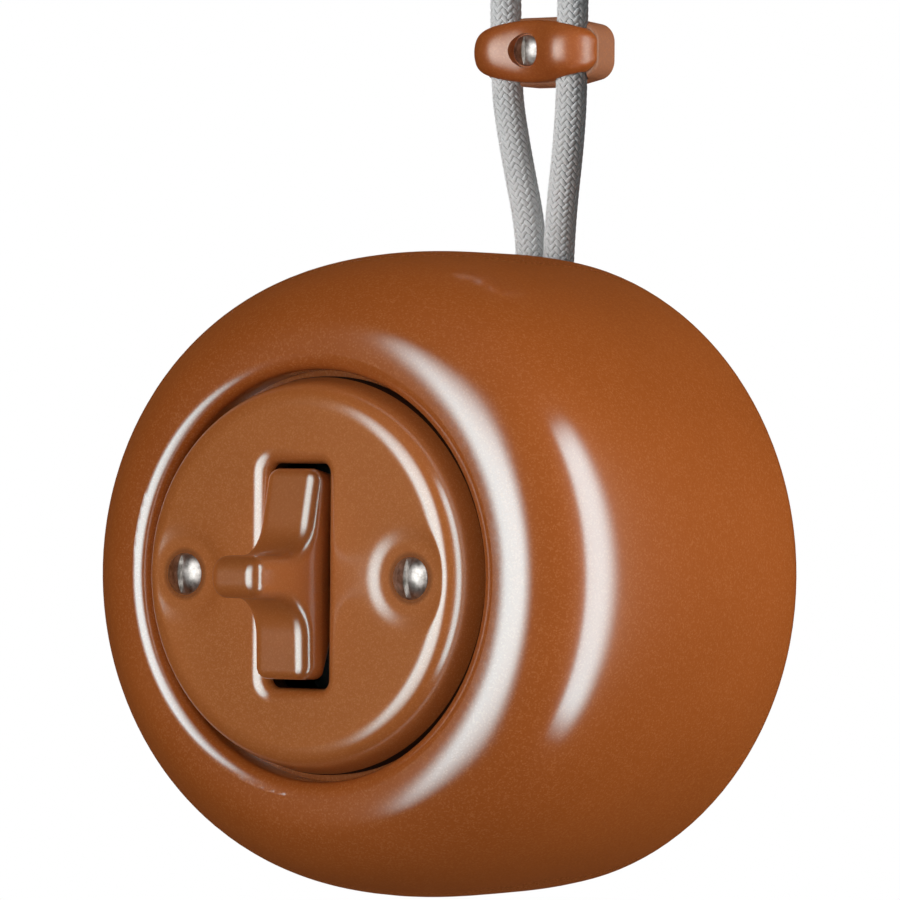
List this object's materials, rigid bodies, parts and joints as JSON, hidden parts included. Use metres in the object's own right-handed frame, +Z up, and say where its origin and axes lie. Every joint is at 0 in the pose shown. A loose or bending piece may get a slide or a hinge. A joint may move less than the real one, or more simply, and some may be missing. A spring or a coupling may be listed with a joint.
{
  "type": "toggle switch",
  "caption": "Round surface-mounted porcelain toggle switch with a rocker lever in its screwed cover, fed from above by braided cables held in a porcelain cleat.",
  "frame": {"origin": "centre of the housing's back face, in the plane of the wall", "axes": "+Y into the wall, +Z up towards the cleat, +X to the right as the front is seen; the front faces -Y"},
  "size_m": [0.1, 0.0828, 0.157],
  "materials": {
    "porcelain": "satin copper-brown metallic glaze",
    "nickel": "nickel-plated, lightly brushed",
    "steel": "zinc-plated",
    "brass": "bare brass",
    "silver": "silver contact tips",
    "moulding": "dark moulded insulating resin",
    "braid": "light grey woven braid",
    "insulation_brown": "brown core insulation",
    "insulation_black": "black core insulation",
    "copper": "bare copper"
  },
  "bodies": {
    "frame": {"housing": "porcelain", "post_inserts": "brass", "cover_disc": "porcelain", "cover_screws": "nickel", "mounting_strap": "steel", "strap_screws": "steel", "pivot_yoke": "steel", "switch_base": "moulding", "base_rivets": "brass", "fixed_contacts": "silver", "common_terminal": "brass", "lower_terminal": "brass", "upper_terminal": "brass", "terminal_screws": "steel", "cable_left": "braid", "cable_right": "braid", "core_left": "insulation_brown", "core_right": "insulation_black", "wire_end_left": "copper", "wire_end_right": "copper", "cleat_base": "porcelain", "cleat_cap": "porcelain", "cleat_screw": "nickel"},
    "toggle": {"toggle_lever": "porcelain", "pivot_pin": "steel", "plunger_spring": "steel"},
    "plunger": {"plunger": "brass"},
    "seesaw": {"contact_rocker": "brass", "moving_contacts": "silver"}
  },
  "joints": [
    {"name": "toggle_hinge", "type": "hinge", "parent": "frame", "child": "toggle", "pos_m": [0, -0.0633, 0], "axis": [1, 0, 0], "range_deg": [0, 11]},
    {"name": "seesaw_hinge", "type": "hinge", "parent": "frame", "child": "seesaw", "pos_m": [0, -0.0445, 0], "axis": [1, 0, 0], "range_deg": [-11, 0]},
    {"name": "plunger_slide", "type": "slide", "parent": "toggle", "child": "plunger", "axis": [0, -0.9954, 0.0958], "range_m": [0, 0.001], "stiffness_N_per_m": 400, "springref_m": -0.002, "deforming": ["plunger_spring"]}
  ],
  "couplings": [
    {"joint": "seesaw_hinge", "follows": "toggle_hinge", "ratio": -1}
  ]
}
